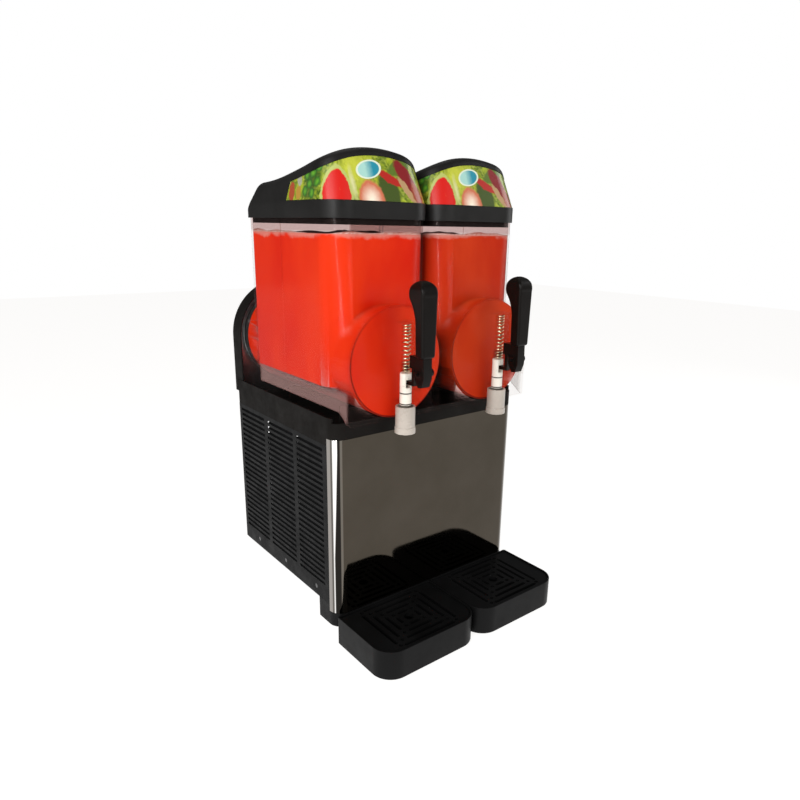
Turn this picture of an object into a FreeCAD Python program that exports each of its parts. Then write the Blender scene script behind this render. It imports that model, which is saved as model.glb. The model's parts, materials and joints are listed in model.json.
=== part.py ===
import FreeCAD, Part
import math
import os

from FreeCAD import Vector

# Two-bowl slushie machine: a free-standing counter-top cabinet with two clear bowls side by side.
# Millimetres. +Z is up, -Y is the front with the taps, +X is to the right seen from the front.
# The shapes are drawn with y = 0 on the face of the front panel and z = 0 on the counter, and
# are moved at the end so that the origin is the centre of the footprint.

# ---- Driving dimensions ----
WIDTH = 400.0             # over the side panels, and over both drip trays
CABINET_DEPTH = 345.0     # front panel to rear panel
REAR_REACH = 357.0        # front panel to the back of the rear housing
TRAY_REACH = 138.0        # drip trays in front of the front panel
CORNER_R = 22.0           # cabinet's two front vertical corners
BOWL_X = 100.0            # each bowl's centre from the middle of the machine

PLINTH_Z = 32.0           # underside of the plinth and of the base pan
PANEL_BOTTOM_Z = 57.0     # front panel's lower edge
SIDE_BOTTOM_Z = 69.0      # side panels' lower edge
DECK_Z = 352.0            # side panels' upper edge
PANEL_TOP_Z = 364.0       # front panel's upper edge
DECK_RIM_Z = 390.5        # deck's front rim
RAIL_Z = 398.0            # deck's side rails

DRUM_Z = 482.0            # axis of the bowls' drums
DRUM_R = 90.0
DRUM_FRONT_Y = -29.0
DRUM_REAR_Y = 333.5
TANK_HALF_WIDTH = 96.5
TANK_FRONT_Y = 8.0
TANK_REAR_Y = 271.0
TANK_FLOOR_Z = 440.0
TANK_TOP_Z = 697.7
TANK_FRONT_R = 42.0
TANK_REAR_R = 12.0
WALL = 3.0                # clear plastic wall
SLUSH_Z = 672.0           # level of the drink

HUMP_R = 100.0            # rear housing's two round humps
HUMP_FRONT_Y = 323.6
EVAPORATOR_R = 58.0
AUGER_R = 82.0
SHAFT_R = 6.0
SHAFT_Y = (-20.0, 281.0)
BUSH_R = 10.0

TAP_Y = -49.0             # vertical axis of each tap
TAP_R = 12.5
TAP_BORE_R = 9.5
PISTON_R = 9.2
PISTON_BOTTOM_Z = 420.0
PISTON_TOP_Z = 470.0
SPRING_TOP_Z = 546.0
PIVOT_Y = -88.0           # handle's hinge pin
PIVOT_Z = 476.0
KNOB_Y = -51.0            # handle's lifting nose inside the piston
KNOB_Z = 457.0
KNOB_R = 3.2

LID_TOP_Z = 797.0
LID_LOW_Z = 694.0
LID_RIM_Z = 718.0         # top of the lid's plain black band
LID_HALF_WIDTH = 98.7
LID_FRONT_Y = 5.3
LID_REAR_Y = 276.0
LID_BROW_R = 12.0         # rounding where the roof meets the walls

TRAY_BOTTOM_Z = 7.0
TRAY_TOP_Z = PANEL_BOTTOM_Z
SHEET = 1.5               # steel sheet
PLASTIC = 3.0             # black mouldings
GAP = 0.5                 # between neighbouring bodies
SEAM = 0.3                # between neighbouring pieces of the cabinet
INSIDE_X = WIDTH / 2 - SHEET - 0.2   # just inside the side panels
FRAME_FRONT_Y = 24.0
FRAME_REAR_Y = 343.0
DECK_FLOOR_Z = (366.0, 369.0)
SLOT_HEIGHT = 5.0         # louvre slots
PIPE_HOLE_R = 4.5

X_AXIS = Vector(1, 0, 0)
Y_AXIS = Vector(0, 1, 0)
Z_AXIS = Vector(0, 0, 1)
ORIGIN_SHIFT = Vector(0, (TRAY_REACH - REAR_REACH) / 2, 0)


# ---- Building blocks ----
def box(x_range, y_range, z_range):
    corner = Vector(x_range[0], y_range[0], z_range[0])
    size = (x_range[1] - x_range[0], y_range[1] - y_range[0], z_range[1] - z_range[0])
    return Part.makeBox(*size, corner)


def rod(radius, start, end):
    start = Vector(*start)
    along = Vector(*end) - start
    return Part.makeCylinder(radius, along.Length, start, along)


def tube(outer, inner, start, end):
    return rod(outer, start, end).cut(rod(inner, start, end))


def join(shapes):
    first = shapes[0]
    if len(shapes) == 1:
        return first
    return first.multiFuse(shapes[1:]).removeSplitter()


def less(shape, tools):
    return shape.cut(Part.makeCompound(tools))


def plan_wire(half_width, y_range, z, front_r, rear_r):
    """Rounded rectangle seen from above, with its own radius at the front and at the rear."""
    front, rear = y_range
    corners = [
        (-half_width + front_r, front + front_r, front_r, 180),
        (half_width - front_r, front + front_r, front_r, 270),
        (half_width - rear_r, rear - rear_r, rear_r, 0),
        (-half_width + rear_r, rear - rear_r, rear_r, 90),
    ]
    edges = []
    ends = []
    for x, y, radius, start in corners:
        angles = [math.radians(start + turn) for turn in (0, 45, 90)]
        points = [Vector(x + radius * math.cos(a), y + radius * math.sin(a), z) for a in angles]
        ends.append((points[0], points[2]))
        edges.append(Part.Arc(*points).toShape())
        if len(ends) > 1:
            edges.insert(-1, Part.makeLine(ends[-2][1], points[0]))
    edges.append(Part.makeLine(ends[-1][1], ends[0][0]))
    return Part.Wire(edges)


def plan_block(half_width, y_range, z_range, front_r, rear_r):
    face = Part.Face(plan_wire(half_width, y_range, z_range[0], front_r, rear_r))
    return face.extrude(Vector(0, 0, z_range[1] - z_range[0]))


def side_prism(points, x_range):
    """Outline of (y, z) points, drawn out across the machine."""
    corners = [Vector(x_range[0], y, z) for y, z in points]
    wire = Part.makePolygon(corners + corners[:1])
    return Part.Face(wire).extrude(Vector(x_range[1] - x_range[0], 0, 0))


def coil(radius, pitch, height, profile):
    """Sweep a profile, drawn at (radius, 0, 0), round a helix that climbs Z."""
    path = Part.Wire(Part.makeHelix(pitch, height, radius).Edges)
    return path.makePipeShell([profile], True, True)


def pipe(points, radius):
    """Round pipe along straight runs, with a ball at each bend."""
    pieces = [rod(radius, start, end) for start, end in zip(points, points[1:])]
    pieces += [Part.makeSphere(radius, Vector(*point)) for point in points[1:-1]]
    return join(pieces)


# ---- Cabinet ----
def base_pan():
    inner_x = 166.0
    front = 57.0
    rear = FRAME_REAR_Y
    wall = 2.0
    rim_z = SIDE_BOTTOM_Z - 1
    tray = box((-inner_x - wall, inner_x + wall), (front, rear), (PLINTH_Z, rim_z))
    hollow = box((-inner_x, inner_x), (front + wall, rear - wall), (PLINTH_Z + wall, rim_z))
    flanges = [
        box((-INSIDE_X, -inner_x - wall), (front, rear), (rim_z - wall, rim_z)),
        box((inner_x + wall, INSIDE_X), (front, rear), (rim_z - wall, rim_z)),
    ]
    hole_r = FOOT_STUD_R + GAP
    through = (PLINTH_Z - 1, PLINTH_Z + wall + 2)
    holes = [rod(hole_r, (x, y, through[0]), (x, y, through[1])) for x, y in foot_places()]
    return less(join([tray.cut(hollow)] + flanges), holes)


FOOT_STUD_R = 4.0


def foot_places():
    return [(x, y) for x in (-112.0, 112.0) for y in (80.0, 318.0)]


def feet():
    sole_r = 15.0
    top_r = 18.0
    stud_length = 10.0
    shapes = []
    for x, y in foot_places():
        pad = Part.makeCone(sole_r, top_r, PLINTH_Z, Vector(x, y, 0))
        stud = rod(FOOT_STUD_R, (x, y, PLINTH_Z - 2), (x, y, PLINTH_Z + stud_length))
        shapes.append(join([pad, stud]))
    return Part.makeCompound(shapes)


def cabinet_frame():
    leg = 20.0
    sheet = 2.0
    outer_x = 193.2
    low = SIDE_BOTTOM_Z - 1
    front = FRAME_FRONT_Y
    rear = FRAME_REAR_Y
    pieces = []
    for side in (-1, 1):
        for y, back in ((front, 1), (rear, -1)):
            flat = sorted((side * outer_x, side * (outer_x - leg)))
            edge = sorted((side * outer_x, side * (outer_x - sheet)))
            pieces.append(box(flat, sorted((y, y + back * sheet)), (low, DECK_Z)))
            pieces.append(box(edge, sorted((y, y + back * leg)), (low, DECK_Z)))
        pieces.append(box(flat, (front, rear), (DECK_Z - sheet, DECK_Z)))
    for y in (front, rear - leg):
        pieces.append(box((-outer_x, outer_x), (y, y + leg), (DECK_Z - sheet, DECK_Z)))
    return less(join(pieces), pipe_holes(DECK_Z))


def pipe_holes(z):
    """Where the two refrigerant pipes rise through a level sheet."""
    reach = 10.0
    return [rod(PIPE_HOLE_R, (x, LINE_Y, z - reach), (x, LINE_Y, z + reach)) for x in LINE_XS]


def front_panel():
    half = WIDTH / 2
    depth = 60.0
    z_range = (PANEL_BOTTOM_Z, PANEL_TOP_Z)
    skin = plan_block(half, (0, depth), z_range, CORNER_R, 1)
    inner = plan_block(half - SHEET, (SHEET, depth - 1), z_range, CORNER_R - SHEET, 1)
    behind = box((-half, half), (CORNER_R + 0.8, depth + 1), z_range)
    return skin.cut(inner).cut(behind)


def louvre_rows():
    pitch = 10.0
    first = SIDE_BOTTOM_Z + 30
    room = DECK_Z - SLOT_HEIGHT - 1 - first
    return [first + pitch * row for row in range(int(room / pitch) + 1)]


SIDE_COLUMNS = ((36.0, 121.0), (133.0, 228.0), (240.0, 335.0))
SWITCH_Y = 56.0
SWITCH_ZS = (318.0, 278.0, 238.0)
SWITCH_HALF_Y = 8.5
SWITCH_HALF_Z = 14.5


def side_panel(side, columns):
    """Sheet with columns of slots, each with a blade that slants in and up from its lower edge."""
    outer = side * WIDTH / 2
    inner = outer - side * SHEET
    z_range = (SIDE_BOTTOM_Z, DECK_Z - SEAM)
    sheet = box(sorted((outer, inner)), (CORNER_R + 1.5, CABINET_DEPTH), z_range)
    blade_drop = 1.7
    blade_reach = 5.0
    thick = Vector(0, 0, 1.2)
    slots = []
    blades = []
    for low_y, high_y in columns:
        for z in louvre_rows():
            x_range = sorted((outer + side, inner - side))
            slots.append(box(x_range, (low_y, high_y), (z, z + SLOT_HEIGHT)))
            low = Vector(inner, low_y, z - blade_drop)
            high = low + Vector(-side * blade_reach, 0, blade_reach)
            wire = Part.makePolygon([low, high, high + thick, low + thick, low])
            blades.append(Part.Face(wire).extrude(Vector(0, high_y - low_y, 0)))
    return join([less(sheet, slots)] + blades)


def left_side_panel():
    return side_panel(-1, SIDE_COLUMNS)


def right_side_panel():
    behind_switches = (74.0, SIDE_COLUMNS[0][1])
    panel = side_panel(1, (behind_switches,) + SIDE_COLUMNS[1:])
    x_range = (WIDTH / 2 - 9, WIDTH / 2 + 1)
    y_range = (SWITCH_Y - SWITCH_HALF_Y, SWITCH_Y + SWITCH_HALF_Y)
    cuts = [box(x_range, y_range, (z - SWITCH_HALF_Z, z + SWITCH_HALF_Z)) for z in SWITCH_ZS]
    return less(panel, cuts)


GLAND = (120.0, 110.0)
GLAND_R = 7.0
REAR_COLUMNS = ((-170.0, -65.0), (-52.0, 52.0))


def rear_panel():
    front = FRAME_REAR_Y + 0.2
    sheet = box((-INSIDE_X, INSIDE_X), (front, CABINET_DEPTH), (SIDE_BOTTOM_Z, DECK_Z - SEAM))
    through = (front - 1, CABINET_DEPTH + 1)
    slots = []
    for x_range in REAR_COLUMNS:
        for z in louvre_rows():
            slots.append(box(x_range, through, (z, z + SLOT_HEIGHT)))
    x, z = GLAND
    slots.append(rod(GLAND_R + 0.2, (x, through[0], z), (x, through[1], z)))
    return less(sheet, slots)


def cord_gland():
    """Round bush in the rear panel; the cord's bore goes right through it."""
    x, z = GLAND
    front = CABINET_DEPTH - 12
    collar_y = CABINET_DEPTH + 4
    rear = CABINET_DEPTH + 10
    body = rod(GLAND_R, (x, front, z), (x, CABINET_DEPTH + 1, z))
    collar = rod(GLAND_R + 4, (x, CABINET_DEPTH, z), (x, collar_y, z))
    dome = rod(GLAND_R + 1.5, (x, collar_y, z), (x, rear, z))
    cord_bore = rod(3.8, (x, front - 1, z), (x, rear + 1, z))
    return join([body, collar, dome]).cut(cord_bore)


TONGUE_XS = (-55.0, 55.0)
TONGUE_HALF = 19.0
TONGUE_Z = (36.5, 42.5)


def front_plinth():
    """Black moulding below the front panel, with ears up to the side panels and tray sockets."""
    half = WIDTH / 2
    top = PANEL_BOTTOM_Z - SEAM
    rear = 56.0
    skin = plan_block(half, (0, rear), (PLINTH_Z, top), CORNER_R, 0.5)
    hollow_plan = (half - PLASTIC, (PLASTIC, rear + 5))
    hollow = plan_block(*hollow_plan, (PLINTH_Z - 1, top - PLASTIC), CORNER_R - PLASTIC, 0.5)
    pieces = [skin.cut(hollow)]
    for side in (-1, 1):
        x_range = sorted((side * half, side * (half - SHEET)))
        ear_z = (top - PLASTIC, SIDE_BOTTOM_Z - SEAM)
        pieces.append(box(x_range, (CORNER_R + 1.3, rear), ear_z))
    clear = 1.0
    socket_z = (TONGUE_Z[0] - clear, TONGUE_Z[1] + clear)
    sockets = []
    for bowl in (-BOWL_X, BOWL_X):
        for x in TONGUE_XS:
            reach = TONGUE_HALF + clear
            x_range = (bowl + x - reach, bowl + x + reach)
            sockets.append(box(x_range, (-1, PLASTIC + 2), socket_z))
    return less(join(pieces), sockets)


SCREW_YS = (66.0, 177.0, 286.0)
SCREW_Z = 84.0
SCREW_HEAD_R = 4.0


def panel_screws():
    """Low screw heads, let into both side panels."""
    height = 1.2
    sunk = 1.6
    shapes = []
    for side in (-1, 1):
        for y in SCREW_YS:
            start = Vector(side * (WIDTH / 2 - sunk), y, SCREW_Z)
            shapes.append(Part.makeCylinder(SCREW_HEAD_R, height, start, Vector(side, 0, 0)))
    return Part.makeCompound(shapes)


def panel_with_screw_holes(panel):
    holes = []
    for side in (-1, 1):
        inside = side * (WIDTH / 2 - 10)
        outside = side * (WIDTH / 2 + 5)
        for y in SCREW_YS:
            holes.append(rod(SCREW_HEAD_R + 0.1, (inside, y, SCREW_Z), (outside, y, SCREW_Z)))
    return less(panel, holes)


def deck():
    """Open black tray under the bowls: thin side rails, a lower front rim and four cradle ribs."""
    half = WIDTH / 2
    floor_low, floor_high = DECK_FLOOR_Z
    inner_r = CORNER_R - PLASTIC
    inner_y = (PLASTIC, CABINET_DEPTH - PLASTIC)
    outer = plan_block(half, (0, CABINET_DEPTH), (DECK_Z, RAIL_Z), CORNER_R, 1)
    above = plan_block(half - PLASTIC, inner_y, (floor_high, RAIL_Z + 1), inner_r, 1)
    below = plan_block(half - PLASTIC, inner_y, (DECK_Z - 1, floor_low), inner_r, 1)
    over_panel = box((-half, half), (-1, CORNER_R + 1.2), (DECK_Z - 1, PANEL_TOP_Z + SEAM))
    low_rim = box((-half, half), (-1, 12), (DECK_RIM_Z, RAIL_Z + 1))
    shell = less(outer, [above, below, over_panel, low_rim])
    rib_half = 50.0
    rib_thick = 4.0
    ribs = []
    for bowl in (-BOWL_X, BOWL_X):
        drum = rod(DRUM_R + 0.4, (bowl, -40, DRUM_Z), (bowl, 400, DRUM_Z))
        for y in (60.0, 230.0):
            z_range = (floor_high - 1, RAIL_Z + 2)
            rib = box((bowl - rib_half, bowl + rib_half), (y, y + rib_thick), z_range)
            ribs.append(rib.cut(drum))
    notch_x = half - PLASTIC - GAP
    notch_y = (BULKHEAD_Y[0] - 0.4, BULKHEAD_Y[1] + 0.5)
    notch = box((-notch_x, notch_x), notch_y, (floor_low - 6, floor_high + 6))
    return less(join([shell] + ribs), pipe_holes(floor_low) + [notch])


VALLEY_HALF = 6.0         # narrow floor where the two round humps would only touch
VALLEY_Z = DRUM_Z + 20


def twin_hump(inset, y_range, low_z):
    pieces = [box((-HUMP_R * 2 + inset, HUMP_R * 2 - inset), y_range, (low_z, DRUM_Z))]
    pieces.append(box((-VALLEY_HALF, VALLEY_HALF), y_range, (low_z, VALLEY_Z - inset)))
    for bowl in (-BOWL_X, BOWL_X):
        start = (bowl, y_range[0], DRUM_Z)
        pieces.append(rod(HUMP_R - inset, start, (bowl, y_range[1], DRUM_Z)))
    return join(pieces).cut(box((-WIDTH, WIDTH), (0, 2 * REAR_REACH), (0, low_z)))


def rear_housing():
    """Black moulding behind the bowls: two round humps, open to the front, with a skirt behind."""
    seat_z = RAIL_Z + SEAM
    skirt_z = 375.0
    outer = twin_hump(0, (HUMP_FRONT_Y, REAR_REACH), seat_z)
    inner = twin_hump(PLASTIC, (HUMP_FRONT_Y - 1, REAR_REACH - PLASTIC), seat_z - 1)
    half = WIDTH / 2
    skirt = box((-half, half), (CABINET_DEPTH + SEAM, REAR_REACH), (skirt_z, seat_z))
    hollow_x = (-half + PLASTIC, half - PLASTIC)
    hollow = box(hollow_x, (CABINET_DEPTH - 1, REAR_REACH - PLASTIC), (skirt_z - 1, seat_z + 1))
    return join([outer.cut(inner), skirt.cut(hollow)])


BULKHEAD_Y = (338.0, 341.0)
LINE_XS = (-12.0, 12.0)
LINE_Y = 331.0            # refrigerant pipes rise here, between the two drums
LINE_TURN_Z = 406.0       # and turn back through the bulkhead here
GEARBOX_R = 48.0


def line_entry(bowl):
    """Where a bowl's refrigerant pipe goes through the bulkhead into its evaporator."""
    towards_middle = -1 if bowl > 0 else 1
    radius = 52.0
    angle = math.radians(30)
    x = bowl + towards_middle * radius * math.cos(angle)
    return x, DRUM_Z - radius * math.sin(angle)


def bulkhead():
    plate = twin_hump(PLASTIC + 1, BULKHEAD_Y, DECK_FLOOR_Z[0] + 0.5)
    front = BULKHEAD_Y[0] - 8
    rear = BULKHEAD_Y[1] + 9
    pipe_r = 4.0
    holes = []
    for bowl in (-BOWL_X, BOWL_X):
        holes.append(rod(GEARBOX_R + 0.6, (bowl, front, DRUM_Z), (bowl, rear, DRUM_Z)))
        x, z = line_entry(bowl)
        holes.append(rod(pipe_r, (x, front, z), (x, rear, z)))
    holes += [rod(pipe_r, (x, front, LINE_TURN_Z), (x, rear, LINE_TURN_Z)) for x in LINE_XS]
    return less(plate, holes)


# ---- Refrigeration and electrics inside the cabinet ----
COMPRESSOR = (95.0, 130.0)
MOUNT_TOP_Z = 50.0
MOUNT_STUD_R = 5.0


def compressor():
    """Round welded shell on a plate with two legs; the wires meet it in a box at the front."""
    x, y = COMPRESSOR
    shell_r = 60.0
    shell_z = (75.0, 165.0)
    plate_z = (MOUNT_TOP_Z, MOUNT_TOP_Z + 3)
    plate = box((x - 70, x + 70), (y - 60, y + 60), plate_z)
    leg_z = (plate_z[1] - 1, shell_z[0] + 1)
    legs = [box((x + dx - 8, x + dx + 8), (y - 8, y + 8), leg_z) for dx in (-45, 45)]
    shell = rod(shell_r, (x, y, shell_z[0]), (x, y, shell_z[1]))
    ball = Part.makeSphere(75, Vector(x, y, 120))
    cap = box((x - 80, x + 80), (y - 80, y + 80), (shell_z[1] - 1, 200))
    foot = Part.makeCone(48, shell_r, 12, Vector(x, y, shell_z[0] - 12))
    terminal = box((x - 18, x + 18), (y - 74, y - 50), (100, 140))
    hole_r = MOUNT_STUD_R + 0.2
    holes = [rod(hole_r, (hx, hy, 40), (hx, hy, 60)) for hx, hy in mount_places()]
    return less(join([plate] + legs + [shell, ball.common(cap), foot, terminal]), holes)


def mount_places():
    x, y = COMPRESSOR
    return [(x + dx, y + dy) for dx in (-58, 58) for dy in (-48, 48)]


def compressor_mounts():
    shapes = []
    for x, y in mount_places():
        pad = rod(11, (x, y, PLINTH_Z + 2), (x, y, MOUNT_TOP_Z))
        stud = rod(MOUNT_STUD_R, (x, y, MOUNT_TOP_Z - 1), (x, y, MOUNT_TOP_Z + 7))
        shapes.append(join([pad, stud]))
    return Part.makeCompound(shapes)


CONDENSER_X = (-160.0, -122.0)


def condenser():
    """Finned block on its edge behind the left louvres, with two rows of tubes."""
    y_range = (75.0, 325.0)
    z_range = (36.0, 286.0)
    fin_pitch = 10.0
    fin_count = 25
    end_thick = 2.0
    fin_thick = 0.8
    fins = []
    for i in range(fin_count):
        y = y_range[0] + fin_pitch * i
        thick = end_thick if i in (0, fin_count - 1) else fin_thick
        fins.append(box(CONDENSER_X, (y, y + thick), z_range))
    tube_r = 4.5
    row_pitch = 42.0
    tube_y = (68.0, 322.0)
    tubes = []
    for x in (-150.0, -132.0):
        for row in range(6):
            z = z_range[0] + 20 + row_pitch * row
            tubes.append(rod(tube_r, (x, tube_y[0], z), (x, tube_y[1], z)))
    rail_y = (y_range[0], y_range[0] + fin_pitch * (fin_count - 1) + end_thick)
    rails = [box(CONDENSER_X, rail_y, (z - 1, z + 1)) for z in (z_range[0] - 1, z_range[1])]
    return join(fins + tubes + rails)


FAN_Y = 200.0
FAN_Z = 165.0
MOTOR_R = 26.0
FAN_SHAFT_R = 3.0


def fan_shroud():
    """Plate on the condenser with a round throat and three arms that hold the motor."""
    plate_x = (-121.5, -119.0)
    throat_r = 93.0
    post_r = 105.0
    bar = 6.0
    collar_x = (-70.0, -64.0)
    plate = box(plate_x, (78, 320), (40, 284))
    throat = tube(throat_r + 4, throat_r, (-120, FAN_Y, FAN_Z), (-98, FAN_Y, FAN_Z))
    mouth = rod(throat_r, (-125, FAN_Y, FAN_Z), (-110, FAN_Y, FAN_Z))
    arms = []
    for turn in (90, 210, 330):
        arm = box(collar_x, (28, post_r), (-bar, bar))
        post = box((-120, collar_x[1]), (post_r - bar, post_r), (-bar, bar))
        holder = join([arm, post])
        holder.rotate(Vector(0, 0, 0), X_AXIS, turn)
        holder.translate(Vector(0, FAN_Y, FAN_Z))
        arms.append(holder)
    collar = tube(MOTOR_R + 4, MOTOR_R, (collar_x[0], FAN_Y, FAN_Z), (collar_x[1], FAN_Y, FAN_Z))
    return join([plate.cut(mouth), throat, collar] + arms)


def fan_motor():
    body = rod(MOTOR_R, (-72, FAN_Y, FAN_Z), (-30, FAN_Y, FAN_Z))
    shaft = rod(FAN_SHAFT_R, (-97, FAN_Y, FAN_Z), (-71, FAN_Y, FAN_Z))
    return join([body, shaft])


def fan_blades():
    hub = rod(17, (-99, FAN_Y, FAN_Z), (-80, FAN_Y, FAN_Z))
    bore = rod(FAN_SHAFT_R + 0.05, (-98, FAN_Y, FAN_Z), (-79, FAN_Y, FAN_Z))
    blades = []
    count = 5
    pitch_angle = 32
    for i in range(count):
        blade = Part.makeBox(2, 72, 44, Vector(-1, 15, -22))
        blade.rotate(Vector(0, 0, 0), Y_AXIS, pitch_angle)
        blade.translate(Vector(-89.5, 0, 0))
        blade.rotate(Vector(0, 0, 0), X_AXIS, 360 * i / count)
        blade.translate(Vector(0, FAN_Y, FAN_Z))
        blades.append(blade.common(rod(90, (-130, FAN_Y, FAN_Z), (-60, FAN_Y, FAN_Z))))
    return join([hub] + blades).cut(bore)


def filter_drier():
    x = -30.0
    y = 300.0
    body = rod(12, (x, y, 90), (x, y, 170))
    ends = [Part.makeCone(12, 4, 12, Vector(x, y, 170)), Part.makeCone(4, 12, 12, Vector(x, y, 78))]
    return join([body] + ends)


def refrigerant_lines():
    """Discharge pipe, liquid pipe and the pipes to and from the two evaporators."""
    x, y = COMPRESSOR
    discharge = pipe([(x - 60.5, y + 15, 150), (0, y + 15, 150), (0, 62, 150), (0, 62, 266),
                      (-150, 62, 266), (-150, 67.5, 266)], 3)
    liquid = pipe([(-132, 67.5, 56), (-132, 62, 56), (-60, 62, 40), (-30, 300, 40), (-30, 300, 77.5)], 3)
    shapes = [discharge, liquid]
    behind = BULKHEAD_Y[1] + 7.5
    for bowl, line_x in zip((-BOWL_X, BOWL_X), LINE_XS):
        end_x, end_z = line_entry(bowl)
        route = [(line_x, LINE_Y, 300), (line_x, LINE_Y, LINE_TURN_Z), (line_x, behind, LINE_TURN_Z),
                 (end_x, behind, end_z - 20), (end_x, behind, end_z), (end_x, 320, end_z)]
        shapes.append(pipe(route, 2.5))
    feed = pipe([(-30, 300, 182.5), (-30, 300, 230), (-12, LINE_Y, 260), (-12, LINE_Y, 299.5)], 2.5)
    suction = pipe([(12, LINE_Y, 299.5), (12, LINE_Y, 220), (60, 215, 220), (x, y + 20, 220),
                    (x, y + 20, 194.5)], 4)
    return Part.makeCompound(shapes + [feed, suction])


def control_box():
    """Open box for the electronics, with a flat lid that overhangs it."""
    x_range = (75.0, 162.0)
    y_range = (206.0, 302.0)
    z_range = (PLINTH_Z + 2.2, 150.0)
    wall = 2.0
    outer = box(x_range, y_range, z_range)
    inner_x = (x_range[0] + wall, x_range[1] - wall)
    inner_y = (y_range[0] + wall, y_range[1] - wall)
    inner = box(inner_x, inner_y, (PLINTH_Z + 4, z_range[1] + 1))
    lid_x = (x_range[0] - wall, x_range[1] + wall)
    lid_y = (y_range[0] - wall, y_range[1] + wall)
    lid = box(lid_x, lid_y, (z_range[1] + SEAM, z_range[1] + 3))
    return Part.makeCompound([outer.cut(inner), lid])


def switch_bodies():
    half = WIDTH / 2
    shapes = []
    for z in SWITCH_ZS:
        y_out = SWITCH_HALF_Y - 0.2
        z_out = SWITCH_HALF_Z - 0.2
        y_in = y_out - 1.5
        z_in = z_out - 1.5
        y_range = (SWITCH_Y - y_out, SWITCH_Y + y_out)
        outer = box((half - 26, half - 0.2), y_range, (z - z_out, z + z_out))
        y_range = (SWITCH_Y - y_in, SWITCH_Y + y_in)
        inner = box((half - 11, half), y_range, (z - z_in, z + z_in))
        shapes.append(outer.cut(inner))
    return Part.makeCompound(shapes)


def rocker(z):
    """Switch rocker, tipped to its lower stop, that turns on a round bar along Y."""
    half = WIDTH / 2
    pivot_x = half - 7.5
    reach = SWITCH_HALF_Z - 3.0
    half_y = SWITCH_HALF_Y - 2.2
    tip = 7.0
    outline = [(pivot_x - 1.5, -5), (pivot_x - 1.5, 5), (half - 3.4, reach), (half - 2.4, reach),
               (half - 4.2, 0), (half - 2.4, -reach), (half - 3.4, -reach)]
    corners = [Vector(x, SWITCH_Y - half_y, z + dz) for x, dz in outline]
    wire = Part.makePolygon(corners + corners[:1])
    cap = Part.Face(wire).extrude(Vector(0, 2 * half_y, 0))
    bar = rod(2.4, (pivot_x, SWITCH_Y - half_y, z), (pivot_x, SWITCH_Y + half_y, z))
    body = join([cap, bar])
    body.rotate(Vector(pivot_x, SWITCH_Y, z), Y_AXIS, tip)
    return body


# ---- One bowl's pieces, drawn about x = 0 ----
def drum_rod(radius, y_range):
    return rod(radius, (0, y_range[0], DRUM_Z), (0, y_range[1], DRUM_Z))


def evaporator():
    """Closed-ended cold drum with a flange against the bulkhead and a bored core for the shaft."""
    inner_r = EVAPORATOR_R - SHEET
    front = -8.0
    rear = BULKHEAD_Y[0]
    shell = drum_rod(EVAPORATOR_R, (front, rear)).cut(drum_rod(inner_r, (front + 2, rear + 1)))
    flange = drum_rod(86, (rear - 3.8, rear - 0.2)).cut(drum_rod(inner_r, (rear - 8, rear + 2)))
    core_length = 252.0
    core = drum_rod(BUSH_R + 2.5, (front + 1, front + 1 + core_length))
    bore = drum_rod(BUSH_R + 0.05, (front - 2, front + core_length + 6))
    return join([shell, flange, core]).cut(bore)


def bowl_gasket():
    """Round rubber ring that seals the drum's open end on the evaporator."""
    y_range = (321.0, 334.0)
    hole = drum_rod(EVAPORATOR_R + 0.2, (y_range[0] - 1, y_range[1] + 1))
    return drum_rod(DRUM_R - WALL - 0.05, y_range).cut(hole)


def gear_motor():
    """Motor and gearbox half inside the evaporator, hung on the bulkhead by two ears."""
    front = 250.0
    joint = 300.0
    face = BULKHEAD_Y[1] + 0.2
    ear_half_x = 66.0
    ear_half_z = 14.0
    motor = drum_rod(38, (front, joint + 1))
    gearbox = drum_rod(GEARBOX_R, (joint, face))
    ear_z = (DRUM_Z - ear_half_z, DRUM_Z + ear_half_z)
    ears = box((-ear_half_x, ear_half_x), (face, face + 3), ear_z)
    cap = drum_rod(35, (face - 0.2, face + 9.8))
    socket = drum_rod(SHAFT_R + 0.05, (front - 1, SHAFT_Y[1] + 1))
    return join([motor, gearbox, ears, cap]).cut(socket)


def shaft_bush():
    return drum_rod(BUSH_R, (-9.5, 12)).cut(drum_rod(SHAFT_R + 0.05, (-12, 14)))


def drive_shaft():
    return drum_rod(SHAFT_R, SHAFT_Y)


def auger():
    """Scraping spiral round the evaporator, tied by three bars to a spoked hub at the front."""
    pitch = 66.0
    thick = 6.0
    inner_r = 62.0
    length = 320.0
    bar_r = 79.0
    bar = 4.0
    spoke_z = (-8.0, -2.0)
    start_y = -11.0
    corners = [(inner_r, 0), (AUGER_R, 0), (AUGER_R, thick), (inner_r, thick)]
    points = [Vector(x, 0, z) for x, z in corners]
    flight = coil(inner_r, pitch, length, Part.makePolygon(points + points[:1]))
    pieces = [flight]
    for turn in (0, 120, 240):
        tie = box((-bar, bar), (bar_r - 2 * bar, bar_r), (spoke_z[0], length + 3))
        spoke = box((-bar, bar), (2 * SHAFT_R, bar_r), spoke_z)
        pieces += [piece.rotated(Vector(0, 0, 0), Z_AXIS, turn) for piece in (tie, spoke)]
    hub = rod(14, (0, 0, start_y), (0, 0, spoke_z[1]))
    shaft = rod(SHAFT_R, (0, 0, SHAFT_Y[0] - start_y), (0, 0, 5))
    body = join(pieces + [hub]).cut(shaft)
    body.rotate(Vector(0, 0, 0), X_AXIS, -90)
    body.translate(Vector(0, start_y, DRUM_Z))
    return body


def bowl_cavity(gap):
    """Space inside the bowl, drawn in from the walls by a gap."""
    inset = WALL + gap
    tank = tank_block(inset, (TANK_FLOOR_Z + inset, TANK_TOP_Z + 20))
    return join([tank, drum_rod(DRUM_R - inset, (DRUM_FRONT_Y + inset, CABINET_DEPTH))])


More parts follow.
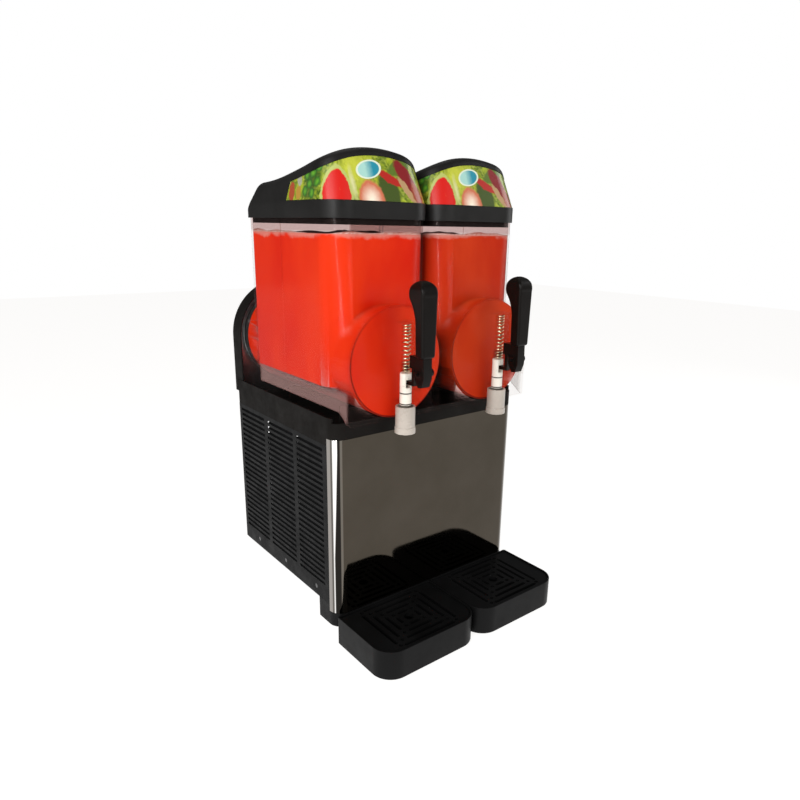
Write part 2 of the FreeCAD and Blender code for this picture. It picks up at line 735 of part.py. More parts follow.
def tank_block(inset, z_range):
    """The tank's plan, with wide front corners and tighter rear ones, drawn in by an inset."""
    y_range = (TANK_FRONT_Y + inset, TANK_REAR_Y - inset)
    half = TANK_HALF_WIDTH - inset
    return plan_block(half, y_range, z_range, TANK_FRONT_R - inset, TANK_REAR_R - inset)


def bowl():
    """Clear bowl: an upright tank on a long drum, with skirts, a front foot and the tap's barrel."""
    tank = tank_block(0, (TANK_FLOOR_Z, TANK_TOP_Z))
    drum = drum_rod(DRUM_R, (DRUM_FRONT_Y, DRUM_REAR_Y))
    foot_z = DRUM_Z - DRUM_R
    skirt_low = 410.0
    skirt_high = DRUM_Z - 15
    skirt_rear = TANK_REAR_Y - 5
    skirt_outline = [(DRUM_FRONT_Y, foot_z), (DRUM_FRONT_Y, skirt_high), (skirt_rear, skirt_high),
                     (skirt_rear, skirt_low), (0, skirt_low), (DRUM_FRONT_Y + 4, foot_z)]
    skirts = []
    for side in (-1, 1):
        x_range = sorted((side * DRUM_R, side * (DRUM_R - WALL)))
        skirts.append(side_prism(skirt_outline, x_range))
    foot_y = (DRUM_FRONT_Y, DRUM_FRONT_Y + WALL)
    foot = box((-DRUM_R, DRUM_R), foot_y, (foot_z, DRUM_Z - 10))
    outer = join([tank, drum, foot] + skirts + tap_barrel())
    bowl_body = outer.cut(bowl_cavity(0))
    return less(bowl_body, tap_bores())


TAP_BARREL_Z = (405.0, 487.0)
OUTLET_Z = 430.0
PIN_R = 2.5


def tap_barrel():
    """Upright barrel on a web, two lugs for the handle, and a strip up to the spring's stop."""
    low, high = TAP_BARREL_Z
    root = DRUM_FRONT_Y + 1
    front = TAP_Y - 17
    strip = 4.0
    barrel = rod(TAP_R, (0, TAP_Y, low), (0, TAP_Y, high))
    web = box((-8, 8), (TAP_Y, root), (OUTLET_Z - 6, high))
    lug_y = (PIVOT_Y - 9, TAP_Y)
    lugs = [box(sorted((side * 9, side * TAP_R)), lug_y, (452, high - 1)) for side in (-1, 1)]
    collar = box((-strip, strip), (front, TAP_Y), (high - 5, high))
    riser = box((-strip, strip), (front, front + WALL), (high - 5, SPRING_TOP_Z + strip))
    stop = box((-9, 9), (front, root), (SPRING_TOP_Z, SPRING_TOP_Z + strip))
    return [barrel, web, collar, riser, stop] + lugs


def tap_bores():
    low, high = TAP_BARREL_Z
    barrel_bore = rod(TAP_BORE_R, (0, TAP_Y, low - 5), (0, TAP_Y, high + 3))
    outlet = rod(6.5, (0, TAP_Y, OUTLET_Z), (0, DRUM_FRONT_Y + WALL + 1, OUTLET_Z))
    nose_slot = box((-5, 5), (-70, TAP_Y), (448, 481))
    pin_hole = rod(PIN_R, (-20, PIVOT_Y, PIVOT_Z), (20, PIVOT_Y, PIVOT_Z))
    return [barrel_bore, outlet, nose_slot, pin_hole]


def slush():
    """The frozen drink: it fills the bowl round the space that the auger sweeps."""
    rear = 318.0
    level = box((-WIDTH, WIDTH), (-TRAY_REACH, rear), (DECK_Z, SLUSH_Z))
    swept = drum_rod(AUGER_R + 1.2, (DRUM_FRONT_Y + WALL + 1, CABINET_DEPTH + 5))
    return bowl_cavity(0.3).common(level).cut(swept)


def spout():
    """White nozzle pushed over the tap's barrel, with a thicker rim round its mouth."""
    low = 375.0
    rim_top = 385.0
    high = 418.0
    radius = 15.6
    tube_wall = rod(radius, (0, TAP_Y, low + 5), (0, TAP_Y, high))
    rim = rod(radius + 1, (0, TAP_Y, low), (0, TAP_Y, rim_top))
    mouth = rod(9, (0, TAP_Y, low - 5), (0, TAP_Y, high - 8))
    socket = rod(TAP_R, (0, TAP_Y, TAP_BARREL_Z[0]), (0, TAP_Y, high + 2))
    return less(join([tube_wall, rim]), [mouth, socket])


RING_ZS = (421.8, 438.8)
RING_R = 8.5
RING_WIRE_R = 0.85


def tap_piston():
    body = rod(PISTON_R, (0, TAP_Y, PISTON_BOTTOM_Z), (0, TAP_Y, PISTON_TOP_Z))
    slot_z = (KNOB_Z - 9.0, KNOB_Z + KNOB_R + 0.4)
    slot = box((-5.3, 5.3), (TAP_Y - 11, TAP_Y + 8.5), slot_z)
    groove = RING_WIRE_R + 0.1
    floor_r = RING_R - RING_WIRE_R - 0.05
    grooves = [tube(10, floor_r, (0, TAP_Y, z - groove), (0, TAP_Y, z + groove)) for z in RING_ZS]
    return less(body, [slot] + grooves)


def piston_rings():
    rings = [Part.makeTorus(RING_R, RING_WIRE_R, Vector(0, TAP_Y, z)) for z in RING_ZS]
    return Part.makeCompound(rings)


def tap_spring():
    wire_r = 0.9
    radius = 6.8
    turns = 9
    length = SPRING_TOP_Z - PISTON_TOP_Z - 2 * wire_r - 0.2
    circle = Part.Wire(Part.makeCircle(wire_r, Vector(radius, 0, 0), Y_AXIS))
    spring = coil(radius, length / turns, length, circle)
    spring.translate(Vector(0, TAP_Y, PISTON_TOP_Z + wire_r + 0.1))
    return spring


def handle_grip():
    """Paddle that swells rearwards at its head, tapers downwards and is rounded all over."""
    front = -103.5
    rear = -84.5
    low = 500.0
    half_width = 15.0
    low_half = 12.5
    shoulder_z = 593.0
    crown_z = 611.0
    edge_r = 4.0
    points = [Vector(-half_width, y, z) for y, z in (
        (front, low), (front, 588), (-97, 606), (-84, crown_z - 0.5), (-72, 601),
        (-71.5, 583), (-81, 566), (rear, 548), (rear, low))]
    arcs = [Part.Arc(*points[i:i + 3]).toShape() for i in (1, 3, 5)]
    runs = [Part.makeLine(points[i], points[i - 1]) for i in (1, 8, 0)]
    side_view = Part.Wire(Part.__sortEdges__(arcs + runs))
    body = Part.Face(side_view).extrude(Vector(2 * half_width, 0, 0))
    corners = [Vector(x, front - 1, z) for x, z in (
        (-low_half, low - 1), (-half_width, shoulder_z), (0, crown_z), (half_width, shoulder_z),
        (low_half, low - 1))]
    edges = [Part.makeLine(corners[0], corners[1]), Part.Arc(*corners[1:4]).toShape(),
             Part.makeLine(corners[3], corners[4]), Part.makeLine(corners[4], corners[0])]
    front_view = Part.Face(Part.Wire(edges)).extrude(Vector(0, 40, 0))
    grip = body.common(front_view)
    return grip.makeFillet(edge_r, grip.Edges)


def handle():
    """Pull handle: the grip on a narrow shank, with a finger and a nose for the piston."""
    shank = side_prism([(-100, 501), (-101, 470), (-96, 456), (-88, 455), (-80, 468), (-80, 482),
                        (-68, 482), (-68, 501)], (-8, 8))
    finger = side_prism([(-74, 484), (-74, 454), (KNOB_Y, 454), (KNOB_Y, 460), (-68, 460),
                         (-68, 484)], (-4, 4))
    knob = rod(KNOB_R, (-4.5, KNOB_Y, KNOB_Z), (4.5, KNOB_Y, KNOB_Z))
    bore = rod(PIN_R + 0.05, (-20, PIVOT_Y, PIVOT_Z), (20, PIVOT_Y, PIVOT_Z))
    return join([handle_grip(), shank, finger, knob]).cut(bore)


def handle_pin():
    length = 14.0
    head_r = 6.0
    pin = rod(PIN_R, (-length, PIVOT_Y, PIVOT_Z), (length, PIVOT_Y, PIVOT_Z))
    head = rod(head_r, (length - 1, PIVOT_Y, PIVOT_Z), (length + 4, PIVOT_Y, PIVOT_Z))
    return join([pin, head])


# ---- Lid ----
def roof_wire(y, side_z, crown_z):
    """Cross-section of the roof: an arch over straight sides."""
    half = 110.0
    reference = 88.0
    low_z = 600.0
    edge_z = crown_z - (crown_z - side_z) * (half / reference) ** 2
    low = Vector(-half, y, low_z)
    high = Vector(-half, y, edge_z)
    arch = Part.Arc(high, Vector(0, y, crown_z), Vector(half, y, edge_z)).toShape()
    far_high = Vector(half, y, edge_z)
    far_low = Vector(half, y, low_z)
    return Part.Wire([Part.makeLine(low, high), arch, Part.makeLine(far_high, far_low),
                      Part.makeLine(far_low, low)])


def roof(drop):
    """Solid below the lid's S-shaped roof: low and flat behind, high and arched in front."""
    top = LID_TOP_Z - drop
    stations = [(-55, 19, 0), (-10, 19, 0), (35, 20, 0.5), (80, 28, 11), (125, 36, 26),
                (170, 43, 39), (215, 47, 45.5), (260, 48.5, 47.6), (305, 49, 48.4)]
    wires = [roof_wire(y, top - side, top - crown) for y, side, crown in stations]
    return Part.makeLoft(wires, True, False)


def lid_taper(inset):
    """Lid walls: upright round the band, then leaning in towards the top."""
    lean_front = 30.0
    lean_side = 13.0
    half = LID_HALF_WIDTH - inset
    rear = LID_REAR_Y - inset
    front = LID_FRONT_Y + inset
    high = LID_TOP_Z + 6
    front_r = TANK_FRONT_R + 1 - inset
    rear_r = TANK_REAR_R + 1 - inset
    low_wire = plan_wire(half, (front, rear), LID_RIM_Z, front_r, rear_r)
    high_wire = plan_wire(half - lean_side, (front + lean_front, rear), high, front_r, rear_r)
    walls = Part.makeLoft([low_wire, high_wire], True, True)
    band = plan_block(half, (front, rear), (LID_LOW_Z, LID_RIM_Z), front_r, rear_r)
    return join([walls, band])


def rear_slope(inset):
    """Wedge cut away to give the lid its sloping back."""
    run = inset * math.sqrt(2)
    low = (LID_REAR_Y - 2 - run, 701.0)
    rise = 50.0
    above = LID_TOP_Z + 33
    behind = LID_REAR_Y + 44
    points = [low, (low[0] - rise, low[1] + rise), (low[0] - rise, above), (behind, above),
              (behind, low[1])]
    return side_prism(points, (-120, 120))


def lid_body(inset):
    body = lid_taper(inset).common(roof(inset)).cut(rear_slope(inset))
    brow = [edge for edge in body.Edges if edge.BoundBox.ZMin > LID_RIM_Z + 20]
    return body.makeFillet(LID_BROW_R - inset, brow)


SIGN_REAR_Y = 131.0


def sign_window(gap):
    """Where the sign shows: above the band, and a constant distance below the roof line."""
    low = LID_RIM_Z + 1 + gap
    border = 13.5
    lean = 30.0
    rear = SIGN_REAR_Y - gap
    above = LID_TOP_Z + 23
    side = side_prism([(-60, low), (-60, above), (rear - lean, above), (rear, low)], (-120, 120))
    return roof(border + gap).common(side)


def lid_shell():
    """Hollow cover that sits over the tank's rim, with a lip inside it and a hole for the sign."""
    floor_z = TANK_TOP_Z + SEAM
    floor_thick = 2.5
    fit = 0.6
    lip_thick = 2.5
    lip_low = 686.0
    outer = lid_body(0)
    room = box((-120, 120), (-20, 300), (floor_z + floor_thick, LID_TOP_Z + 23))
    cavity = lid_body(PLASTIC).common(room)
    mouth = tank_block(-fit, (LID_LOW_Z - 4, floor_z))
    lip = tank_block(WALL + fit, (lip_low, floor_z + 1))
    lip_hole = tank_block(WALL + fit + lip_thick, (lip_low - 1, floor_z))
    shell = less(outer, [mouth, cavity])
    return join([shell, lip.cut(lip_hole)]).cut(sign_window(0))


def lid_sign():
    """Printed sheet, a little below the lid's surface, that fills the sign's hole."""
    sunk = 0.8
    thick = 2.0
    sheet = lid_taper(sunk).cut(lid_taper(sunk + thick))
    return sheet.common(sign_window(SEAM))


# ---- Drip tray, drawn about x = 0 ----
TRAY_HALF_WIDTH = 99.5
TRAY_FRONT_R = 36.0
TRAY_Y = (-TRAY_REACH, -0.5)


def drip_tray():
    """Tray with wide front corners, a ledge for the grille and two tongues for the plinth."""
    outer = plan_block(TRAY_HALF_WIDTH, TRAY_Y, (TRAY_BOTTOM_Z, TRAY_TOP_Z), TRAY_FRONT_R, 4)
    ledge_reach = 3.0
    ledge_z = (44.0, 48.0)
    well = tray_inside(PLASTIC, (TRAY_BOTTOM_Z + PLASTIC, TRAY_TOP_Z + 3))
    ledge = tray_inside(PLASTIC, ledge_z)
    ledge_hole = tray_inside(PLASTIC + ledge_reach, (ledge_z[0] - 1, ledge_z[1] + 1))
    tongues = []
    for x in TONGUE_XS:
        tongues.append(box((x - TONGUE_HALF, x + TONGUE_HALF), (TRAY_Y[1] - 1, 18), TONGUE_Z))
    return join([outer.cut(well), ledge.cut(ledge_hole)] + tongues)


def tray_inside(inset, z_range):
    y_range = (TRAY_Y[0] + inset, TRAY_Y[1] - inset)
    rear_r = 2 if inset < 2 * PLASTIC else 1
    return plan_block(TRAY_HALF_WIDTH - inset, y_range, z_range, TRAY_FRONT_R - inset, rear_r)


def slot_hole(x, y, length, along_x, width):
    """Round-ended slot through the grille."""
    half = (length - width) / 2
    if along_x:
        ends = ((x - half, y), (x + half, y))
        middle = box((x - half, x + half), (y - width / 2, y + width / 2), (40, 60))
    else:
        ends = ((x, y - half), (x, y + half))
        middle = box((x - width / 2, x + width / 2), (y - half, y + half), (40, 60))
    return join([middle] + [rod(width / 2, (ex, ey, 40), (ex, ey, 60)) for ex, ey in ends])


def drip_grille():
    """Plate with a round hole, nested squares of slots and holes along both diagonals."""
    plate_z = (48.3, 54.5)
    plate = tray_inside(PLASTIC + GAP, plate_z)
    centre_y = sum(TRAY_Y) / 2 + 1.5
    rings = 4
    ring_pitch = 14.3
    first = 19.0
    squeeze = 0.93
    corner_pull = 0.95
    slot_width = 6.0
    hole_r = 3.6
    land = 8.5
    through = (40.0, 60.0)
    cuts = [rod(8.5, (0, centre_y, through[0]), (0, centre_y, through[1]))]
    for ring in range(rings):
        x = first + ring_pitch * ring
        y = squeeze * x
        for side in (-1, 1):
            cuts.append(slot_hole(0, centre_y + side * y, 2 * (x - land), True, slot_width))
            cuts.append(slot_hole(side * x, centre_y, 2 * (y - land), False, slot_width))
            reach = corner_pull if ring == rings - 1 else 1.0
            for end in (-1, 1):
                place = (side * x * reach, centre_y + end * y * reach)
                cuts.append(rod(hole_r, (*place, through[0]), (*place, through[1])))
    return less(plate, cuts)


# ---- Writing ----
def write(node, shape):
    shape = shape.copy()
    shape.translate(ORIGIN_SHIFT)
    shape.exportStep(os.path.join("parts", node + ".step"))


CABINET_PIECES = {
    "base_pan": base_pan,
    "feet": feet,
    "cabinet_frame": cabinet_frame,
    "front_panel": front_panel,
    "rear_panel": rear_panel,
    "front_plinth": front_plinth,
    "panel_screws": panel_screws,
    "deck": deck,
    "rear_housing": rear_housing,
    "bulkhead": bulkhead,
    "compressor": compressor,
    "compressor_mounts": compressor_mounts,
    "condenser": condenser,
    "fan_shroud": fan_shroud,
    "fan_motor": fan_motor,
    "fan_blades": fan_blades,
    "filter_drier": filter_drier,
    "refrigerant_lines": refrigerant_lines,
    "control_box": control_box,
    "switch_bodies": switch_bodies,
    "cord_gland": cord_gland,
}

ROCKERS = ("power_rocker", "cooling_rocker", "mixing_rocker")

BOWL_PIECES = {
    "evaporator": evaporator,
    "gear_motor": gear_motor,
    "drive_shaft": drive_shaft,
    "auger": auger,
    "bowl": bowl,
    "slush": slush,
    "spout": spout,
    "tap_piston": tap_piston,
    "piston_rings": piston_rings,
    "tap_spring": tap_spring,
    "handle": handle,
    "handle_pin": handle_pin,
    "lid_shell": lid_shell,
    "lid_sign": lid_sign,
    "drip_tray": drip_tray,
    "drip_grille": drip_grille,
}

SHARED_PIECES = {
    "bowl_gaskets": bowl_gasket,
    "shaft_bushes": shaft_bush,
}


def main():
    os.makedirs("parts", exist_ok=True)
    for node, make in CABINET_PIECES.items():
        write(node, make())
    write("left_side_panel", panel_with_screw_holes(left_side_panel()))
    write("right_side_panel", panel_with_screw_holes(right_side_panel()))
    for node, z in zip(ROCKERS, SWITCH_ZS):
        write(node, rocker(z))
    for node, make in BOWL_PIECES.items():
        shape = make()
        for name, x in (("left_", -BOWL_X), ("right_", BOWL_X)):
            write(name + node, shape.translated(Vector(x, 0, 0)))
    for node, make in SHARED_PIECES.items():
        pair = [make().translated(Vector(x, 0, 0)) for x in (-BOWL_X, BOWL_X)]
        write(node, Part.makeCompound(pair))


main()
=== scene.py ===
import json
import math
import random

import bmesh
import bpy
from mathutils import Matrix, Vector


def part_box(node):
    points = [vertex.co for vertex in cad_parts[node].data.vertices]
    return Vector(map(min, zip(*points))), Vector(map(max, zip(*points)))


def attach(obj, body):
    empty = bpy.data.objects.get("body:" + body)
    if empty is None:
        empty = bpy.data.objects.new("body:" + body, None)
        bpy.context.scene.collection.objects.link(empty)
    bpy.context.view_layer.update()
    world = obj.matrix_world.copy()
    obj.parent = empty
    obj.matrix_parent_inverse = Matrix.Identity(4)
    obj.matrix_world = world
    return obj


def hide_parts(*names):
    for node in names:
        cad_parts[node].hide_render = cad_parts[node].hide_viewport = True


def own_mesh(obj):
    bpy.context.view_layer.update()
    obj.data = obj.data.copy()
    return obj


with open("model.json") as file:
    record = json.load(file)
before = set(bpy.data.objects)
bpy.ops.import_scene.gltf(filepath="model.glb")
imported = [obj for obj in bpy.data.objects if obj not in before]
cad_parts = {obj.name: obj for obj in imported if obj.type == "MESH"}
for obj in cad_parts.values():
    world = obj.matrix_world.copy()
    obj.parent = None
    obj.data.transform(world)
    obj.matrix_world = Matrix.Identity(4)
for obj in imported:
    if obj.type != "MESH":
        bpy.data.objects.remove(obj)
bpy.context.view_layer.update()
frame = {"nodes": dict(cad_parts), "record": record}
SIDES = ("left", "right")
MM = 0.001

# ---- Places and sizes in the machine's frame, in metres ----
DRINK_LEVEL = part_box("left_slush")[1].z
TANK_FLOOR = 0.44                   # the bowls' skirts hang below this
DRUM_FACE = -0.13                   # just behind the round front ends of the drums
FROTH_FRONT = -0.0981               # just inside the tanks' front and rear walls
FROTH_REAR = 0.1581
FROTH_FRONT_CORNER = 38.4 * MM      # radii of the froth's upright corners
FROTH_REAR_CORNER = 8.4 * MM
SIGN_CORNER = 43.0 * MM             # radius of the sign's two upright corners
SEAM_Y = 0.0455                     # where the seam runs up each side wall of a bowl
SEAM_HEIGHTS = (0.444, 0.5, 0.6, 0.693)


# ---- Node helpers ----
class Nodes:
    """A short way to write a material's node tree."""

    def __init__(self, name):
        self.material = bpy.data.materials.new(name)
        self.material.use_nodes = True
        self.tree = self.material.node_tree
        self.shader = self.tree.nodes["Principled BSDF"]
        self.output = self.tree.nodes["Material Output"]

    def add(self, kind, **settings):
        node = self.tree.nodes.new(kind)
        for key, value in settings.items():
            setattr(node, key, value)
        return node

    def link(self, source, target):
        self.tree.links.new(source, target)

    def put(self, socket, value):
        if isinstance(value, bpy.types.NodeSocket):
            self.link(value, socket)
        else:
            socket.default_value = value

    def place(self, stretch=(1, 1, 1)):
        """Object coordinates in metres, stretched."""
        coordinates = self.add("ShaderNodeTexCoord")
        mapping = self.add("ShaderNodeMapping")
        mapping.inputs["Scale"].default_value = stretch
        self.link(coordinates.outputs["Object"], mapping.inputs["Vector"])
        return mapping.outputs["Vector"]

    def axes(self, vector=None):
        """The X, Y and Z of a vector, or of the place in metres."""
        split = self.add("ShaderNodeSeparateXYZ")
        self.link(vector or self.place(), split.inputs["Vector"])
        return split.outputs

    def noise(self, scale, detail=3.0, roughness=0.5, vector=None, distortion=0.0):
        node = self.add("ShaderNodeTexNoise")
        node.inputs["Scale"].default_value = scale
        node.inputs["Detail"].default_value = detail
        node.inputs["Roughness"].default_value = roughness
        node.inputs["Distortion"].default_value = distortion
        self.link(vector or self.place(), node.inputs["Vector"])
        return node.outputs["Fac"]

    def math(self, operation, a, b=0.0, clamp=False):
        node = self.add("ShaderNodeMath", operation=operation, use_clamp=clamp)
        self.put(node.inputs[0], a)
        self.put(node.inputs[1], b)
        return node.outputs["Value"]

    def ramp(self, value, low, high, start=0.0, end=1.0):
        """Linear change from start to end while value goes from low to high."""
        node = self.add("ShaderNodeMapRange")
        self.put(node.inputs["Value"], value)
        node.inputs["From Min"].default_value = low
        node.inputs["From Max"].default_value = high
        node.inputs["To Min"].default_value = start
        node.inputs["To Max"].default_value = end
        return node.outputs["Result"]

    def mix(self, factor, a, b):
        node = self.add("ShaderNodeMix", data_type="RGBA")
        self.put(node.inputs["Factor"], factor)
        for socket, value in ((node.inputs["A"], a), (node.inputs["B"], b)):
            self.put(socket, value if isinstance(value, bpy.types.NodeSocket) else (*value, 1))
        return node.outputs["Result"]

    def bump(self, height, strength, distance):
        node = self.add("ShaderNodeBump")
        node.inputs["Strength"].default_value = strength
        node.inputs["Distance"].default_value = distance
        self.link(height, node.inputs["Height"])
        self.link(node.outputs["Normal"], self.shader.inputs["Normal"])

    def base(self, colour):
        self.put(self.shader.inputs["Base Color"], colour)

    def rough(self, value):
        self.put(self.shader.inputs["Roughness"], value)

    def settings(self, values):
        """Values that are the same all over the surface, on the shader's own sockets."""
        for socket, value in values.items():
            self.shader.inputs[socket].default_value = value


# ---- Plastics, paints and metals ----
def moulded(name, dark, light, roughness, grain_mm, grain_depth, specular=0.5, coat=0.0):
    """Moulded plastic or paint: fine grain, slow colour drift and uneven gloss."""
    n = Nodes(name)
    drift = n.noise(14.0, detail=5.0)
    n.base(n.mix(n.ramp(drift, 0.35, 0.65), dark, light))
    smear = n.noise(38.0, detail=4.0, roughness=0.65)
    n.rough(n.ramp(smear, 0.3, 0.7, roughness * 0.82, roughness * 1.18))
    n.settings({"Specular IOR Level": specular, "Coat Weight": coat, "Coat Roughness": 0.12})
    n.bump(n.noise(1.0 / (grain_mm * MM), detail=2.0), grain_depth, 0.2 * MM)
    return n.material


def metal(name, dark, light, roughness, stretch=(1, 1, 1), scale=300.0):
    """Metal with a fine grain, which a stretch draws out into lines, and faint smudges."""
    n = Nodes(name)
    grain = n.noise(scale, detail=4.0, vector=n.place(stretch))
    n.base(n.mix(n.ramp(grain, 0.3, 0.7), dark, light))
    smudge = n.noise(11.0, detail=5.0, roughness=0.6)
    n.rough(n.ramp(smudge, 0.3, 0.7, roughness * 0.8, roughness * 1.25))
    n.settings({"Metallic": 1.0})
    n.bump(grain, 0.1, 0.1 * MM)
    return n.material


# Painted reflection bands round the panel's two corners, going outwards, dark ones and one bright painted
# highlight. Each has the distances from the machine's middle, in mm, where it starts and where it is full,
# how much further out they are at its foot, and its colour.
# The innermost painted reflection, next to the dark face.
INNERMOST_PAINTED_REFLECTION = (0.15, 0.135, 0.115)
OUTER_PAINTED_REFLECTIONS = (
    (187.8, 188.6, 0, (0.02, 0.018, 0.016)),
    (191.4, 192.2, 4.2, (0.98, 0.97, 0.95)),
    (196.6, 197.4, 0, (0.12, 0.11, 0.1)),
    (198.4, 198.8, 0, (0.32, 0.3, 0.28)),
)
FACE_ENDS = (184.3, 185.0)   # in mm from the middle, where the dark face gives way to the painted reflection bands
TAPER_Z = (0.16, 0.34)       # heights between which the painted highlight band, further out at its foot, slants


def mirror_panel():
    """Dark polished steel, very slightly wavy, with painted reflections, dark and bright bands, round its
    two corners.
    """
    n = Nodes("mirror_steel")
    smudge = n.noise(9.0, detail=6.0, roughness=0.62)
    face = n.mix(n.ramp(smudge, 0.3, 0.7), (0.06, 0.051, 0.039), (0.075, 0.064, 0.051))
    place = n.axes()
    from_middle = n.math("ABSOLUTE", place["X"])
    # Painted reflection: bright and dark bands of colour round the corners, in place of reflected light.
    painted_reflection = INNERMOST_PAINTED_REFLECTION
    for start, full, foot, colour in OUTER_PAINTED_REFLECTIONS:
        across = from_middle
        if foot:
            across = n.math("SUBTRACT", from_middle, n.ramp(place["Z"], *TAPER_Z, foot * MM, 0.0))
        painted_reflection = n.mix(n.ramp(across, start * MM, full * MM), painted_reflection, colour)
    n.base(n.mix(n.ramp(from_middle, FACE_ENDS[0] * MM, FACE_ENDS[1] * MM), face, painted_reflection))
    n.rough(n.ramp(smudge, 0.35, 0.75, 0.045, 0.1))
    n.settings({"Metallic": 1.0})
    n.bump(n.noise(5.0, detail=1.0), 0.04, 10 * MM)
    return n.material


def clear_plastic():
    """Clear wall: straight through, tinted a little, with gloss that grows at grazing angles.

    The outer skirts below the tanks are misted. Above the drink, painted shade makes the walls pass
    darker, warmer light.
    """
    n = Nodes("clear_plastic")
    angle = n.add("ShaderNodeLayerWeight")
    angle.inputs["Blend"].default_value = 0.5
    grazing = n.math("POWER", angle.outputs["Facing"], 9.0)
    mirrored = n.math("MULTIPLY_ADD", grazing, 0.55)
    mirrored.node.inputs[2].default_value = 0.003
    marks = n.noise(60.0, detail=6.0, roughness=0.7, vector=n.place((1, 1, 0.25)))
    scratched = n.ramp(marks, 0.52, 0.8, 0.0, 0.005)
    place = n.axes()
    below_tank = n.ramp(place["Z"], TANK_FLOOR - 4 * MM, TANK_FLOOR + 6 * MM, 1.0, 0.0)
    behind_face = n.ramp(place["Y"], DRUM_FACE - 2 * MM, DRUM_FACE + 2 * MM)
    outer = n.ramp(n.math("ABSOLUTE", place["X"]), 0.12, 0.15, 0.0, 0.14)
    misted = n.math("MULTIPLY", n.math("MULTIPLY", below_tank, behind_face), outer)
    share = n.math("ADD", n.math("ADD", mirrored, scratched), misted, clamp=True)
    through = n.add("ShaderNodeBsdfTransparent")
    # Painted shade in the headspace: above the drink the walls let through less, warmer light.
    above_drink_painted_shade = n.ramp(place["Z"], DRINK_LEVEL - 1 * MM, DRINK_LEVEL + 4 * MM)
    n.link(n.mix(above_drink_painted_shade, (0.955, 0.95, 0.945), (0.86, 0.79, 0.78)), through.inputs["Color"])
    n.base(n.mix(below_tank, (0.9, 0.92, 0.93), (0.88, 0.52, 0.48)))
    n.settings({"Metallic": 0.9})
    n.rough(n.ramp(marks, 0.3, 0.8, 0.03, 0.16))
    mixed = n.add("ShaderNodeMixShader")
    n.link(share, mixed.inputs["Fac"])
    n.link(through.outputs["BSDF"], mixed.inputs[1])
    n.link(n.shader.outputs["BSDF"], mixed.inputs[2])
    n.link(mixed.outputs["Shader"], n.output.inputs["Surface"])
    return n.material


# ---- The drink ----
DRUM_RIM_SHADE_INSIDE = (83.8 * MM, 84.6 * MM)    # radii over which the painted shade round a drum's face fades in,
DRUM_RIM_SHADE_OUTSIDE = (86.8 * MM, 86.2 * MM)   # and over which it fades out


def painted_drum_rim_shade(n, place, side):
    """How strong the painted shade round a drum's face is: a dark line, most at its lower left."""
    low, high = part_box(f"{side}_drive_shaft")
    axis = (low + high) / 2
    from_axis = n.math("SUBTRACT", place["X"], axis.x)
    square_x = n.math("POWER", from_axis, 2.0)
    square_z = n.math("POWER", n.math("SUBTRACT", place["Z"], axis.z), 2.0)
    radius = n.math("SQRT", n.math("ADD", square_x, square_z))
    ring = n.math("MULTIPLY", n.ramp(radius, *DRUM_RIM_SHADE_INSIDE), n.ramp(radius, *DRUM_RIM_SHADE_OUTSIDE))
    up_and_right = n.math("ADD", from_axis, place["Z"])
    ring = n.math("MULTIPLY", ring, n.ramp(up_and_right, 0.40, 0.52, 0.85, 0.15))
    on_face = n.ramp(place["Y"], DRUM_FACE + 1 * MM, DRUM_FACE - 1 * MM)
    return n.math("MULTIPLY", ring, on_face)


def slush_ice(side, deep, bright):
    """Wet fine ice: cloudy streaks, small grains, a paler edge at the level and painted shade round the
    drum.
    """
    n = Nodes(f"slush_{side}")
    clouds = n.noise(9.0, detail=5.0, roughness=0.55, vector=n.place((1, 1, 0.45)), distortion=0.4)
    body = n.mix(n.ramp(clouds, 0.36, 0.66), deep, bright)
    grains = n.noise(420.0, detail=3.0, roughness=0.7)
    body = n.mix(n.ramp(grains, 0.55, 0.8, 0.0, 0.05), body, (0.95, 0.32, 0.2))
    place = n.axes()
    uneven = n.ramp(n.noise(26.0, detail=5.0, roughness=0.6), 0.3, 0.7, -6 * MM, 6 * MM)
    height = n.math("ADD", place["Z"], uneven)
    froth = n.ramp(height, DRINK_LEVEL - 6.5 * MM, DRINK_LEVEL - 1 * MM, 0.0, 0.55)
    body = n.mix(froth, body, (0.72, 0.36, 0.3))
    # Painted shade: a dark line round the drum's face, darkest at its lower left.
    n.base(n.mix(painted_drum_rim_shade(n, place, side), body, (0.09, 0.006, 0.004)))
    n.rough(n.ramp(grains, 0.3, 0.7, 0.34, 0.5))
    n.settings({"Specular IOR Level": 0.06, "Subsurface Weight": 0.12,
                "Subsurface Radius": (0.012, 0.003, 0.0015), "Subsurface Scale": 1.0})
    n.bump(grains, 0.12, 0.4 * MM)
    return n.material


def froth_ice():
    """Pale broken ice."""
    n = Nodes("froth")
    cells = n.noise(320.0, detail=4.0, roughness=0.7)
    n.base(n.mix(n.ramp(cells, 0.35, 0.65), (0.62, 0.2, 0.15), (0.8, 0.62, 0.56)))
    n.settings({"Roughness": 0.5})
    n.bump(cells, 0.5, 0.6 * MM)
    return n.material


